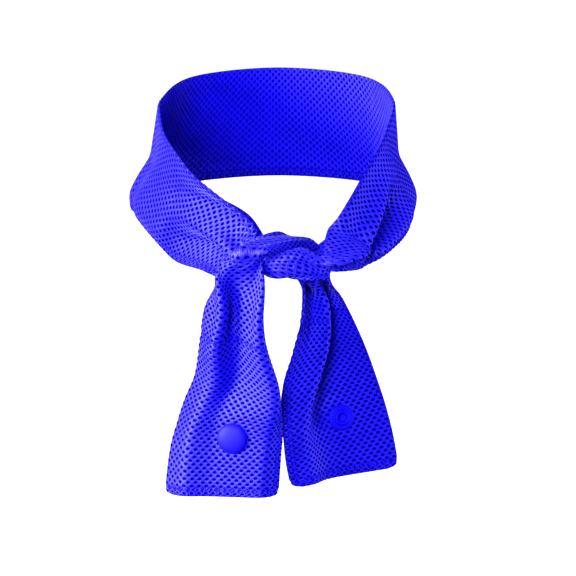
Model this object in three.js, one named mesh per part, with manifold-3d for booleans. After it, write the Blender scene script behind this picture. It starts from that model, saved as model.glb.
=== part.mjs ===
// A cooling towel worn round the neck: one strip of double-layer eyelet mesh,
// tied in a half knot in front, with a press snap near the end of each tail.
// Millimetres, +Z up, front towards -Y. The origin is the middle of the space for the neck.

import * as THREE from 'three';
import { mergeVertices } from 'three/addons/utils/BufferGeometryUtils.js';
import Module from 'manifold-3d';

const wasm = await Module();
wasm.setup();

// Sizes of the cloth
const stripWidth = 60;
const clothThickness = 1.6;
const cornerRadius = 4;
const seamToHem = 75;

// Sizes of the loop round the neck
const neckWidth = 108;
const neckDepth = 116;
const frontDrop = 51;
const napeRise = 28;

// Sizes of the half knot and the tails below it
const knotWidth = 40;
const knotDepth = 24;
const knotHeight = 22;
const knotForward = 64;
const knotBelowNape = 55;
const tailLength = 104;
const tailSpread = 105;
const wrapDepth = 4.6;
const coreDepth = 6.4;
const creaseDepth = 0.12;
const splitBelowKnot = 5;
const coreLead = 2;
const bundleSquareness = 0.7;

// Sizes of the press snaps
const capDiameter = 14;
const capHeight = 3.2;
const ringDiameter = 12;
const ringHeight = 1.8;
const innerRingDiameter = 6.2;
const innerRingRise = 1.1;
const innerRingWall = 0.9;
const postDiameter = 3.2;
const backDiscDiameter = 12;
const backDiscHeight = 1.6;
const snapClearance = 0.4;
const leftSnapToHem = 27;
const rightSnapToHem = 26;
const leftSnapShare = 0.54;
const rightSnapShare = 0.37;
const capRimShare = 0.3;
const postReachShare = 0.6;
const flangeEdgeShare = 0.6;
const flangeSlopeShare = 0.5;
const socketFloorShare = 0.7;
const pressHeight = 4;

// Space left between neighbouring solids
const gap = 0.3;

// How finely the cloth is divided
const pleatCount = 4;
const solveSteps = 96;
const solveRounds = 24;
const largestSwing = 3.05;
const headingNudge = 0.02;
const snapSides = 24;
const foldReach = 1.8;
const turnParts = [-1, -0.45, 0, 0.45];
const smallestLeg = 0.01;
const lastTurnEnd = 0.985;
const cornerStops = [0.1, 0.4];
const lengthSteps = 12;
const bundleSides = 24;
const bundleStep = 3.5;
const creaseCount = 6;

// Each row is one section across the strip, from the hem of the left tail, up through the knot,
// round the neck and down to the hem of the right tail. x, y and z place the upper edge as shares
// of the sizes of its zone, and dx, dy and dz run from there to the lower edge as shares of
// stripWidth. s1 to s4 are the slopes of four legs across the strip, which turn at p1, p2 and p3,
// as softly as soft says, and pleat blends them into even pleats. wall is a share of clothThickness.
// Where held is 1 both edges lie on the row's points, and where it is 0 a folded stack is centred.
const columns = [
  'x', 'y', 'z', 'dx', 'dy', 'dz', 's1', 's2', 's3', 's4', 'p1', 'p2', 'p3', 'soft', 'pleat', 'wall', 'held',
];
const zones = {
  tail: {
    origin: [0, -knotForward, napeRise - knotBelowNape],
    scale: [tailSpread / 2, knotDepth, tailLength],
  },
  knot: {
    origin: [0, -knotForward, napeRise - knotBelowNape],
    scale: [knotWidth / 2, knotDepth / 2, knotHeight / 2],
  },
  neck: {
    origin: [0, 0, napeRise],
    scale: [neckWidth / 2, neckDepth / 2, frontDrop],
  },
};
const rows = [
  ['left_hem', 'tail', -0.985, -0.33, -1.06, 0.86, -0.18, 0.04, 0.7, -0.8, 0.15, -1.0, 0.14, 0.34, 0.8, 0.03, 0, 1, 1],
  ['left_low', 'tail', -0.94, -0.21, -0.87, 0.84, -0.18, -0.01, 0.8, -0.8, 0.15, -1.0, 0.15, 0.35, 0.8, 0.03, 0, 1, 1],
  ['left_snap', 'tail', -0.87, -0.12, -0.74, 0.79, -0.17, -0.05, 0.9, -0.8, 0.15, -1.0, 0.16, 0.36, 0.81, 0.03, 0, 1, 1],
  ['left_mid', 'tail', -0.81, -0.08, -0.645, 0.72, -0.15, -0.04, 0.9, -0.9, 0.2, -1.0, 0.18, 0.38, 0.82, 0.03, 0, 1, 1],
  ['left_high', 'tail', -0.72, -0.08, -0.53, 0.61, -0.13, -0.03, 0.9, -1.0, 0.3, -1.0, 0.22, 0.42, 0.84, 0.03, 0, 1, 1],
  ['left_seam', 'tail', -0.67, -0.15, -0.36, 0.48, -0.10, -0.03, 0.9, -1.1, 0.4, -1.0, 0.26, 0.47, 0.85, 0.03, 0, 1, 1],
  ['left_neck', 'tail', -0.625, -0.29, -0.21, 0.41, -0.07, -0.02, 0.8, -1.2, 0.6, -1.0, 0.28, 0.50, 0.84, 0.03, 0.2, 0.9, 1],
  ['left_top', 'tail', -0.55, -0.38, -0.055, 0.33, -0.05, 0, 0.6, -1.0, 0.6, -0.6, 0.30, 0.60, 0.86, 0.03, 0, 0.8, 1],
  ['roll_front', 'knot', -1.2, -0.92, 0.05, 0.28, -0.02, 0.02, 0, -1, 0, 0, 0.31, 0.69, 0.95, 0.012, 0, 0.7, 0],
  ['roll_top', 'knot', -0.9, -0.72, 0.42, 0.27, -0.05, 0.02, 0, -1, 0, 0, 0.31, 0.69, 0.95, 0.012, 0, 0.7, 0],
  ['hump', 'knot', -0.3, 0.05, 0.6, 0.29, -0.03, -0.05, 0, -1, 0, 0, 0.31, 0.69, 0.95, 0.012, 0, 0.7, 0],
  ['back_high', 'knot', -0.05, 0.8, 0.45, 0.32, 0, -0.08, 0, -1, 0, 0, 0.31, 0.69, 0.95, 0.012, 0, 0.7, 0],
  ['back_low', 'knot', -0.15, 0.9, -0.25, 0.27, 0, 0, 0, -1, 0, 0, 0.31, 0.69, 0.95, 0.012, 0, 0.7, 0],
  ['under', 'knot', -0.45, 0.3, -0.6, 0.27, 0, 0, 0, -1, 0, 0, 0.31, 0.69, 0.95, 0.012, 0, 0.7, 0],
  ['lobe_low', 'knot', -0.45, -0.62, -0.25, 0.26, 0, -0.07, 0, -1, 0, 0, 0.31, 0.69, 0.95, 0.012, 0, 0.7, 0],
  ['lobe_mid', 'knot', 0.0, -0.92, 0.3, 0.22, 0.03, -0.19, 0, -1, 0, 0, 0.31, 0.69, 0.95, 0.012, 0, 0.7, 0],
  ['lobe_high', 'knot', 0.47, -0.82, 0.52, 0.17, 0.05, -0.24, 0, -1, 0, 0, 0.31, 0.69, 0.95, 0.012, 0, 0.7, 0],
  ['right_exit', 'knot', 0.92, -0.75, 0.45, 0.17, 0.08, -0.215, 0, -1, 0.2, -0.4, 0.31, 0.66, 0.9, 0.035, 0, 0.75, 1],
  ['right_1', 'neck', 0.41, -1.06, -0.85, 0.25, 0.18, -0.37, 0, -1, 0.2, -0.4, 0.31, 0.66, 0.9, 0.035, 0, 0.85, 1],
  ['right_2', 'neck', 0.51, -0.97, -0.69, 0.32, 0.30, -0.49, 0.1, -1, 0.5, -0.6, 0.30, 0.62, 0.85, 0.035, 0, 1, 1],
  ['right_3', 'neck', 0.67, -0.79, -0.47, 0.30, 0.43, -0.66, 0.2, -1, 0.6, -0.8, 0.28, 0.56, 0.8, 0.03, 0, 1, 1],
  ['right_4', 'neck', 0.85, -0.52, -0.255, 0.22, 0.48, -0.81, 0.1, -0.3, 0.6, -1.0, 0.25, 0.5, 0.75, 0.03, 0, 1, 1],
  ['right_5', 'neck', 0.915, -0.31, -0.157, 0.175, 0.435, -0.865, -0.5, 0.8, 0.5, -1.3, 0.5, 0.7, 0.86, 0.05, 0, 1, 1],
  ['right_side', 'neck', 0.965, 0.10, -0.02, 0.155, 0.28, -0.93, -0.5, 0.8, 0.5, -1.3, 0.5, 0.7, 0.86, 0.05, 0, 1, 1],
  ['right_back', 'neck', 0.735, 0.72, 0, 0.14, 0.27, -0.95, -0.5, 0.8, 0.5, -1.3, 0.5, 0.7, 0.86, 0.05, 0, 1, 1],
  ['nape', 'neck', 0, 1, 0, 0, 0.29, -0.957, -0.5, 0.8, 0.5, -1.3, 0.5, 0.7, 0.86, 0.05, 0, 1, 1],
  ['left_back', 'neck', -0.735, 0.72, 0, -0.14, 0.27, -0.95, -0.5, 0.8, 0.5, -1.3, 0.5, 0.7, 0.86, 0.05, 0, 1, 1],
  ['left_side', 'neck', -0.985, 0.10, -0.01, -0.225, 0.25, -0.925, -0.5, 0.8, 0.5, -1.3, 0.5, 0.7, 0.86, 0.05, 0, 1, 1],
  ['left_6', 'neck', -1.0, -0.17, -0.09, -0.2, 0.37, -0.89, -0.5, 0.8, 0.5, -1.3, 0.5, 0.7, 0.86, 0.05, 0, 1, 1],
  ['left_5', 'neck', -0.963, -0.43, -0.173, -0.195, 0.475, -0.84, -0.2, 0.5, 0.4, -1.2, 0.4, 0.65, 0.84, 0.05, 0, 1, 1],
  ['left_4', 'neck', -0.867, -0.64, -0.276, -0.15, 0.475, -0.853, -0.2, 0.4, 0.4, -1.0, 0.4, 0.65, 0.84, 0.05, 0, 1, 1],
  ['left_3', 'neck', -0.68, -0.81, -0.47, -0.18, 0.507, -0.8, -1, 1, -1, 1, 0.25, 0.5, 0.75, 0.03, 0.2, 1, 1],
  ['left_2', 'neck', -0.34, -0.98, -0.70, -0.27, 0.367, -0.58, -1, 1, -1, 1, 0.25, 0.5, 0.75, 0.03, 0.4, 0.9, 1],
  ['left_1', 'neck', -0.174, -1.03, -0.86, -0.30, 0.25, -0.44, -1, 1, -1, 1, 0.25, 0.5, 0.75, 0.03, 0.7, 0.8, 1],
  ['core_in', 'knot', -0.35, 0.17, 0.3, -0.14, 0.06, -0.15, -1, 1, -1, 1, 0.25, 0.5, 0.75, 0.03, 1, 0.7, 0],
  ['core_left', 'knot', 0.1, 0.0, 0.15, -0.02, 0.02, -0.075, -1, 1, -1, 1, 0.25, 0.5, 0.75, 0.03, 1, 0.7, 0],
  ['core_mid', 'knot', 0.4, 0.0, 0.1, 0, 0, -0.075, -1, 1, -1, 1, 0.25, 0.5, 0.75, 0.03, 1, 0.7, 0],
  ['core_right', 'knot', 0.6, 0.15, 0.02, -0.06, 0, -0.075, -1, 1, -1, 1, 0.25, 0.5, 0.75, 0.03, 1, 0.7, 0],
  ['core_out', 'knot', 0.9, 0.35, -0.25, -0.15, 0, -0.05, -1, 1, -1, 1, 0.25, 0.5, 0.75, 0.03, 1, 0.7, 0],
  ['right_top', 'tail', 0.45, 0.16, -0.105, -0.265, -0.05, 0, -1, 1, -1, 0.8, 0.31, 0.54, 0.78, 0.035, 0, 0.8, 1],
  ['right_neck', 'tail', 0.56, 0.36, -0.225, -0.32, -0.2, -0.05, -0.7, 1.1, -0.8, -0.2, 0.38, 0.57, 0.80, 0.035, 0, 0.9, 1],
  ['right_seam', 'tail', 0.69, 0.55, -0.38, -0.5, -0.33, -0.08, -0.5, 1.2, -0.5, -0.15, 0.44, 0.60, 0.85, 0.035, 0, 1, 1],
  ['right_high', 'tail', 0.77, 0.62, -0.485, -0.635, -0.39, -0.10, -0.45, 1.2, -0.4, -0.1, 0.48, 0.63, 0.86, 0.03, 0, 1, 1],
  ['right_mid', 'tail', 0.84, 0.66, -0.59, -0.72, -0.43, -0.12, -0.4, 1.1, -0.35, -0.2, 0.53, 0.71, 0.89, 0.03, 0, 1, 1],
  ['right_snap', 'tail', 0.925, 0.67, -0.725, -0.777, -0.46, -0.12, -0.12, 0.6, -0.2, -0.3, 0.62, 0.8, 0.93, 0.03, 0, 1, 1],
  ['right_low', 'tail', 0.995, 0.64, -0.865, -0.818, -0.47, -0.07, -0.12, 0.6, -0.2, -0.3, 0.62, 0.8, 0.93, 0.03, 0, 1, 1],
  ['right_hem', 'tail', 1.045, 0.56, -1.01, -0.823, -0.47, -0.01, -0.12, 0.6, -0.2, -0.3, 0.62, 0.8, 0.93, 0.03, 0, 1, 1],
];

const rowIndex = (name) => rows.findIndex((row) => row[0] === name);

// The rows as numbers in millimetres, one array of columns for each
const stations = rows.map(([, zoneName, ...values]) => {
  const zone = zones[zoneName];
  return values.map((value, column) => {
    if (column < 3) return zone.origin[column] + value * zone.scale[column];
    if (column < 6) return value * stripWidth;
    return value;
  });
});

// A smooth curve through all columns at once, for a place counted in rows
function stationAt(place) {
  const last = stations.length - 1;
  const index = Math.min(Math.max(Math.floor(place), 0), last - 1);
  const f = place - index;
  const before = stations[Math.max(index - 1, 0)];
  const from = stations[index];
  const to = stations[index + 1];
  const after = stations[Math.min(index + 2, last)];
  const station = {};
  columns.forEach((name, column) => {
    const a = from[column];
    const b = to[column];
    const slopeA = (b - before[column]) / 2;
    const slopeB = (after[column] - a) / 2;
    const cubic = 2 * a - 2 * b + slopeA + slopeB;
    const square = 3 * b - 3 * a - 2 * slopeA - slopeB;
    station[name] = ((cubic * f + square) * f + slopeA) * f + a;
  });
  return station;
}

const upperEdge = (station) => new THREE.Vector3(station.x, station.y, station.z);
const acrossStrip = (station) => new THREE.Vector3(station.dx, station.dy, station.dz);

function centreAt(place) {
  const station = stationAt(place);
  return upperEdge(station).addScaledVector(acrossStrip(station), 0.5);
}

// The slope of the section at a share of its width, before it is scaled to fit its chord
function rawSlope(station, share) {
  const step = (turn) => 0.5 + 0.5 * Math.tanh((share - turn) / station.soft);
  const legs = station.s1
    + (station.s2 - station.s1) * step(station.p1)
    + (station.s3 - station.s2) * step(station.p2)
    + (station.s4 - station.s3) * step(station.p3);
  const pleat = Math.cos(2 * Math.PI * pleatCount * share);
  return (1 - station.pleat) * legs + station.pleat * pleat;
}

// The section for one swing of its slopes: its points, its reach, and how it is set on the row
function sectionFor(station, swing) {
  const points = [[0, 0]];
  let x = 0;
  let y = 0;
  for (let step = 0; step < solveSteps; step += 1) {
    const slope = swing * rawSlope(station, (step + 0.5) / solveSteps);
    x += Math.cos(slope) * stripWidth / solveSteps;
    y += Math.sin(slope) * stripWidth / solveSteps;
    points.push([x, y]);
  }
  return { points, chord: x, tilt: station.held * y / x, lift: (1 - station.held) * y / 2 };
}

// The section whose ends lie as far apart as the strip's edges do at this station
function solveSection(station) {
  const wanted = acrossStrip(station).length();
  let low = 0;
  let high = largestSwing;
  for (let round = 0; round < solveRounds; round += 1) {
    const swing = (low + high) / 2;
    if (sectionFor(station, swing).chord > wanted) low = swing;
    else high = swing;
  }
  return sectionFor(station, (low + high) / 2);
}

// A frame of the section plane: from the upper to the lower edge, outward, and along the strip
function frameAt(place, station) {
  const heading = centreAt(place + headingNudge).sub(centreAt(place - headingNudge));
  const across = acrossStrip(station).normalize();
  const outward = across.clone().cross(heading).normalize();
  return { across, outward };
}

// Middle points and outward directions across the strip at one place
function sectionPoints(place, shares) {
  const station = stationAt(place);
  const section = solveSection(station);
  const { across, outward } = frameAt(place, station);
  return shares.map((share) => {
    const scaled = Math.min(Math.max(share, 0), 1) * solveSteps;
    const index = Math.min(Math.floor(scaled), solveSteps - 1);
    const part = scaled - index;
    const [x0, y0] = section.points[index];
    const [x1, y1] = section.points[index + 1];
    const x = x0 + (x1 - x0) * part;
    const y = y0 + (y1 - y0) * part;
    const slope = Math.atan2(y1 - y0 - (x1 - x0) * section.tilt, x1 - x0);
    const middle = upperEdge(station).addScaledVector(across, x);
    middle.addScaledVector(outward, y - x * section.tilt - section.lift);
    const facing = outward.clone().multiplyScalar(Math.cos(slope));
    facing.addScaledVector(across, -Math.sin(slope));
    return { middle, facing, wall: station.wall * clothThickness };
  });
}

// Lengths along the middle of the strip, to find places by millimetres
const lengthTable = [0];
for (let step = 1; step <= (rows.length - 1) * lengthSteps; step += 1) {
  const here = centreAt(step / lengthSteps);
  const before = centreAt((step - 1) / lengthSteps);
  lengthTable.push(lengthTable[step - 1] + here.distanceTo(before));
}
const stripLength = lengthTable[lengthTable.length - 1];

function placeAtLength(length) {
  const index = lengthTable.findIndex((value) => value >= length);
  if (index < 0) return rows.length - 1;
  if (index === 0) return 0;
  const from = lengthTable[index - 1];
  const part = (length - from) / (lengthTable[index] - from);
  return (index - 1 + part) / lengthSteps;
}
const lengthAtPlace = (place) => {
  const scaled = place * lengthSteps;
  const index = Math.min(Math.floor(scaled), lengthTable.length - 2);
  return lengthTable[index] + (lengthTable[index + 1] - lengthTable[index]) * (scaled - index);
};

// How far a rounded corner draws the edge in, at a distance from the hem
function cornerInset(distance) {
  if (distance >= cornerRadius) return 0;
  const reach = cornerRadius - distance;
  return cornerRadius - Math.sqrt(Math.max(cornerRadius ** 2 - reach ** 2, 0));
}

// Shares of the width where the cloth is divided: close together where its legs turn
function foldShares(station) {
  const turns = [station.p1, station.p2, station.p3];
  const reach = foldReach * station.soft;
  const shares = [0];
  let legStart = 0;
  for (const turn of turns) {
    const from = Math.max(turn - reach, legStart + smallestLeg);
    shares.push((legStart + from) / 2);
    for (const part of turnParts) shares.push(Math.max(turn + part * reach, from));
    legStart = Math.min(turn + reach, lastTurnEnd);
    shares.push(legStart);
  }
  shares.push((legStart + 1) / 2, 1);
  return shares;
}

// A closed body of cloth between two lengths along the strip
function clothGeometry(fromLength, toLength, stepLength) {
  const stops = [fromLength];
  const count = Math.max(Math.round((toLength - fromLength) / stepLength), 2);
  for (let step = 1; step < count; step += 1) {
    stops.push(fromLength + (toLength - fromLength) * step / count);
  }
  stops.push(toLength);
  for (const inset of cornerStops) {
    if (fromLength === 0) stops.push(inset * cornerRadius);
    if (toLength === stripLength) stops.push(stripLength - inset * cornerRadius);
  }
  stops.sort((a, b) => a - b);
  const positions = [];
  const acrossCount = foldShares(stationAt(0)).length - 1;
  const ringSize = 2 * (acrossCount + 1);
  for (const length of stops) {
    const inset = cornerInset(Math.min(length, stripLength - length)) / stripWidth;
    const place = placeAtLength(length);
    const shares = foldShares(stationAt(place)).map((share) => inset + (1 - 2 * inset) * share);
    const points = sectionPoints(place, shares);
    for (const { middle, facing, wall } of points) {
      positions.push(...middle.clone().addScaledVector(facing, wall / 2).toArray());
    }
    for (const { middle, facing, wall } of points.reverse()) {
      positions.push(...middle.clone().addScaledVector(facing, -wall / 2).toArray());
    }
  }
  const indices = [];
  for (let ring = 0; ring < stops.length - 1; ring += 1) {
    for (let i = 0; i < ringSize; i += 1) {
      const a = ring * ringSize + i;
      const b = ring * ringSize + (i + 1) % ringSize;
      indices.push(a, b, a + ringSize, b, b + ringSize, a + ringSize);
    }
  }
  const lastRing = (stops.length - 1) * ringSize;
  for (let i = 0; i < acrossCount; i += 1) {
    const mirrored = ringSize - 1 - i;
    indices.push(i, mirrored, i + 1, i + 1, mirrored, mirrored - 1);
    const end = [i, i + 1, mirrored, i + 1, mirrored - 1, mirrored];
    indices.push(...end.map((value) => value + lastRing));
  }
  const geometry = new THREE.BufferGeometry();
  geometry.setAttribute('position', new THREE.Float32BufferAttribute(positions, 3));
  geometry.setIndex(indices);
  return geometry;
}

// A circle's sine or cosine pushed out towards a square's
const roundedSquare = (value) => Math.sign(value) * Math.abs(value) ** bundleSquareness;

// The strip drawn together in the knot: a full bundle with creases along its outer face
function bundleGeometry(fromLength, toLength, depth) {
  const count = Math.round((toLength - fromLength) / bundleStep);
  const positions = [];
  for (let ring = 0; ring <= count; ring += 1) {
    const place = placeAtLength(fromLength + (toLength - fromLength) * ring / count);
    const station = stationAt(place);
    const { across, outward } = frameAt(place, station);
    const halfWidth = acrossStrip(station).length() / 2;
    const centre = centreAt(place);
    for (let side = 0; side < bundleSides; side += 1) {
      const angle = 2 * Math.PI * side / bundleSides;
      const crease = Math.sin(angle) > 0 ? Math.cos(creaseCount * angle) : 0;
      const height = depth / 2 * roundedSquare(Math.sin(angle)) * (1 + creaseDepth * crease);
      const point = centre.clone().addScaledVector(across, -halfWidth * roundedSquare(Math.cos(angle)));
      point.addScaledVector(outward, height);
      positions.push(...point.toArray());
    }
  }
  const indices = [];
  for (let ring = 0; ring < count; ring += 1) {
    for (let side = 0; side < bundleSides; side += 1) {
      const a = ring * bundleSides + side;
      const b = ring * bundleSides + (side + 1) % bundleSides;
      indices.push(a, b, a + bundleSides, b, b + bundleSides, a + bundleSides);
    }
  }
  const lastRing = count * bundleSides;
  for (let side = 1; side < bundleSides - 1; side += 1) {
    indices.push(0, side + 1, side, lastRing, lastRing + side, lastRing + side + 1);
  }
  const geometry = new THREE.BufferGeometry();
  geometry.setAttribute('position', new THREE.Float32BufferAttribute(positions, 3));
  geometry.setIndex(indices);
  return geometry;
}

function toSolid(geometry) {
  const bare = geometry.clone();
  bare.deleteAttribute('normal');
  bare.deleteAttribute('uv');
  const merged = mergeVertices(bare);
  return new wasm.Manifold(new wasm.Mesh({
    numProp: 3,
    vertProperties: new Float32Array(merged.attributes.position.array),
    triVerts: new Uint32Array(merged.index.array),
  }));
}

function fromSolid(solid) {
  const mesh = solid.getMesh();
  const geometry = new THREE.BufferGeometry();
  geometry.setAttribute('position', new THREE.Float32BufferAttribute(mesh.vertProperties, 3));
  geometry.setIndex(Array.from(mesh.triVerts));
  return geometry;
}

// A place on the cloth: its middle point and a turn that takes +Z to the outward direction
function seatOnCloth(length, share) {
  const [point] = sectionPoints(placeAtLength(length), [share]);
  const turn = new THREE.Quaternion().setFromUnitVectors(new THREE.Vector3(0, 0, 1), point.facing);
  return { middle: point.middle, turn };
}

function turned(points, seat) {
  const outline = points.map(([radius, height]) => new THREE.Vector2(radius, height));
  const geometry = new THREE.LatheGeometry(outline, snapSides);
  geometry.rotateX(Math.PI / 2);
  geometry.applyQuaternion(seat.turn);
  geometry.translate(...seat.middle.toArray());
  return geometry;
}

// A profile turned to the outer face of the cloth, or mirrored to the inner face
function onFace(profile, faceSign) {
  const placed = profile.map(([radius, height]) => [radius, height * faceSign]);
  return faceSign > 0 ? placed : placed.reverse();
}

// The domed cap with its post, and the disc with a bore that the post enters on the other face
function capProfile(faceSign, radius, height) {
  const base = clothThickness / 2 + gap;
  const postEnd = -(clothThickness / 2 + gap + backDiscHeight * postReachShare);
  const post = postDiameter / 2;
  const rim = height * capRimShare;
  const profile = [[0, postEnd], [post, postEnd], [post, base], [radius, base], [radius, base + rim]];
  for (const turn of [25, 50, 70]) {
    const angle = turn * Math.PI / 180;
    profile.push([radius * Math.cos(angle), base + rim + (height - rim) * Math.sin(angle)]);
  }
  profile.push([0, base + height]);
  return onFace(profile, faceSign);
}

function discProfile(faceSign, radius, height, ringRadius, ringRise) {
  const base = clothThickness / 2 + gap;
  const bore = postDiameter / 2 + snapClearance;
  const profile = [
    [bore, base],
    [radius, base],
    [radius, base + height * flangeEdgeShare],
    [radius - height * flangeSlopeShare, base + height],
    [ringRadius, base + height],
    [ringRadius, base + height + ringRise],
    [ringRadius - innerRingWall, base + height + ringRise],
    [bore, base + height * socketFloorShare],
    [bore, base],
  ];
  return onFace(profile, faceSign);
}

function material(colour, roughness) {
  return new THREE.MeshStandardMaterial({ color: colour, roughness, metalness: 0 });
}
const meshBlue = 0x1c10e6;
const meshRoughness = 0.85;
const snapBlue = 0x2a1cf0;
const snapRoughness = 0.35;

const towel = new THREE.Group();
function addPiece(name, geometry, colour, roughness) {
  const piece = new THREE.Mesh(geometry, material(colour, roughness));
  piece.name = name;
  towel.add(piece);
}

// Where the strip is divided, in millimetres from the hem of the left tail
const leftSeam = seamToHem;
const wrapStart = lengthAtPlace(rowIndex('left_top')) - splitBelowKnot;
const wrapEnd = lengthAtPlace(rowIndex('right_1'));
const coreStart = lengthAtPlace(rowIndex('left_1')) + coreLead;
const coreEnd = lengthAtPlace(rowIndex('right_top'));
const rightSeam = stripLength - seamToHem;

const clothPieces = [
  { name: 'left_end', from: 0, to: leftSeam, step: 9 },
  { name: 'left_tail', from: leftSeam, to: wrapStart, step: 5 },
  { name: 'neck_band', from: wrapEnd, to: coreStart, step: 10 },
  { name: 'right_tail', from: coreEnd, to: rightSeam, step: 5 },
  { name: 'right_end', from: rightSeam, to: stripLength, step: 9 },
];

const leftSeat = seatOnCloth(leftSnapToHem, leftSnapShare);
const rightSeat = seatOnCloth(stripLength - rightSnapToHem, rightSnapShare);

// A cylinder square to the cloth at a snap, as high as its height and centred at its level
function plugAt(seat, radius, height, level) {
  const plug = new THREE.CylinderGeometry(radius, radius, height, snapSides);
  plug.rotateX(Math.PI / 2);
  plug.translate(0, 0, level);
  plug.applyQuaternion(seat.turn);
  plug.translate(...seat.middle.toArray());
  return toSolid(plug);
}

// The cloth at a snap: a hole for the post, and both faces pressed flat under the discs
function withSnapSeat(geometry, seat) {
  const pressRadius = capDiameter / 2 + gap;
  const pressLevel = (clothThickness + pressHeight) / 2;
  const hole = plugAt(seat, postDiameter / 2 + snapClearance, pressHeight * 2, 0);
  const front = plugAt(seat, pressRadius, pressHeight, pressLevel);
  const back = plugAt(seat, pressRadius, pressHeight, -pressLevel);
  return fromSolid(toSolid(geometry).subtract(hole).subtract(front).subtract(back));
}
const snapSeats = { left_end: leftSeat, right_end: rightSeat };

for (const piece of clothPieces) {
  const from = piece.from === 0 ? 0 : piece.from + gap / 2;
  const to = piece.to === stripLength ? stripLength : piece.to - gap / 2;
  let geometry = clothGeometry(from, to, piece.step);
  if (snapSeats[piece.name]) geometry = withSnapSeat(geometry, snapSeats[piece.name]);
  addPiece(piece.name, geometry, meshBlue, meshRoughness);
}

addPiece('knot_wrap', bundleGeometry(wrapStart + gap / 2, wrapEnd - gap / 2, wrapDepth), meshBlue, meshRoughness);
addPiece('knot_core', bundleGeometry(coreStart + gap / 2, coreEnd - gap / 2, coreDepth), meshBlue, meshRoughness);

addPiece('snap_cap_left', turned(capProfile(1, capDiameter / 2, capHeight), leftSeat), snapBlue, snapRoughness);
addPiece(
  'snap_disc_left',
  turned(discProfile(-1, backDiscDiameter / 2, backDiscHeight, innerRingDiameter / 2, innerRingRise), leftSeat),
  snapBlue,
  snapRoughness,
);
addPiece(
  'snap_disc_right',
  turned(discProfile(1, ringDiameter / 2, ringHeight, innerRingDiameter / 2, innerRingRise), rightSeat),
  snapBlue,
  snapRoughness,
);
addPiece('snap_cap_right', turned(capProfile(-1, capDiameter / 2, capHeight), rightSeat), snapBlue, snapRoughness);

export default towel;
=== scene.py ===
# A cooling towel as it is worn: one strip of double-layer eyelet mesh tied in a half knot,
# with a press snap near each end. Lengths are millimetres until a mesh is made in metres.
import math

import bpy
import numpy as np
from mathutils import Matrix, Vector


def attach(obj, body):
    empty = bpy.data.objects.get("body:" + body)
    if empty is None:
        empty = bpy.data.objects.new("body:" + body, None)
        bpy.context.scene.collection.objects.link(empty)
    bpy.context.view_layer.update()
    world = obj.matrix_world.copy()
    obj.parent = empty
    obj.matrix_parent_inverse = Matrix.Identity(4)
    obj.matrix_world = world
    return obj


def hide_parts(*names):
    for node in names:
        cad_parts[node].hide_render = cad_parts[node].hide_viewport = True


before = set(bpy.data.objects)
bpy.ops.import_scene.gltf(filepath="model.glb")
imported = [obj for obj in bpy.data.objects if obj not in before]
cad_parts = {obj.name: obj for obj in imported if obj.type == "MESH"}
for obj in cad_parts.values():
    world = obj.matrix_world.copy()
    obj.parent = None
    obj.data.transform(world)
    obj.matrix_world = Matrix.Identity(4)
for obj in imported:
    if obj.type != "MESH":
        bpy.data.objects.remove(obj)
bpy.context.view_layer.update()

METRE = 0.001
TINY = 1e-12

# Sizes of the cloth, as in the part's source
STRIP_WIDTH = 60.0
CLOTH_THICKNESS = 1.6
CORNER_RADIUS = 4.0
SEAM_TO_HEM = 75.0

# Sizes of the loop round the neck
NECK_WIDTH = 108.0
NECK_DEPTH = 116.0
FRONT_DROP = 51.0
NAPE_RISE = 28.0

# Sizes of the half knot and the tails below it
KNOT_WIDTH = 40.0
KNOT_DEPTH = 24.0
KNOT_HEIGHT = 22.0
KNOT_FORWARD = 64.0
KNOT_BELOW_NAPE = 55.0
TAIL_LENGTH = 104.0
TAIL_SPREAD = 105.0
SPLIT_BELOW_KNOT = 5.0
CORE_LEAD = 2.0

# Sections of the strip: pleats across it where it is gathered, and how sections are solved
PLEAT_COUNT = 4
LARGEST_SWING = 3.05
SOLVE_ROUNDS = 24
ROLL_THICKNESS = 5.0
ROLL_SQUARENESS = 0.75

# The grid on which the strip is worked out
CURVE_STEPS = 12
GRID_STEP = 0.5
GRID_ACROSS = 240
HEADING_NUDGE = 0.02

# Pulled folds of the panels beside the knot: height, folds across the strip, length of one turn,
# start, and how far from the knot they keep their height and fade
RIGHT_PULL = (2.1, 2.6, 160.0, 0.15, 8.0, 32.0)
LEFT_PULL = (1.1, 2.2, 140.0, 0.0, 6.0, 20.0)
PULL_FADE_IN = 6.0

# Gathers inside the knot: height, folds across the strip, length of one turn and start
GATHERS = ((0.45, 3.5, 70.0, 0.0), (0.3, 6.0, -45.0, 1.3))
GATHER_ONSET = 1.2
TIGHT_CHORD = 14
TIGHT_CHORD_RANGE = 8
TIGHT_GAIN = 2.2

# The eyelets: how many fit across the strip, their pitch along it, and half the size of a hole
EYELETS_ACROSS = 17
EYELET_PITCH = 3.2
HOLE_ACROSS = 1.1
HOLE_ALONG = 0.74
HOLE_DEPTH = 0.42
HOLE_TAPER = 0.82
WEB_SINK = 0.05
EDGE_ROUNDING = 0.8
EDGE_DIGITS = 6
EDGE_TOLERANCE = 1e-6
MERGES_PER_MILLIMETRE = 2000

# Sewn lines: across the strip at each seam, along its second edge, and above each hem
CROSS_SEAM_DIP = 0.6
EDGE_SEAM_DIP = 0.4
EDGE_SEAM_INSET = 3.53
HEM_STITCH_INSET = 3.2
SEAM_HALF_WIDTH = 0.9
SEAM_CELL_DIP = 0.2

# Stitches: their pitch, the share of it that each one fills, their slant and the first and last
STITCH_PITCH = 2.2
STITCH_SHARE = 0.8
SEAM_STITCH_SLANT = 0.15
SEAM_STITCH_SPAN = (1.0, STRIP_WIDTH - 2.0)
HEM_STITCH_SHARE = 0.62
HEM_STITCH_SLANT = 0.9
HEM_STITCH_SPAN = (4.0, STRIP_WIDTH - 5.0)

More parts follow.
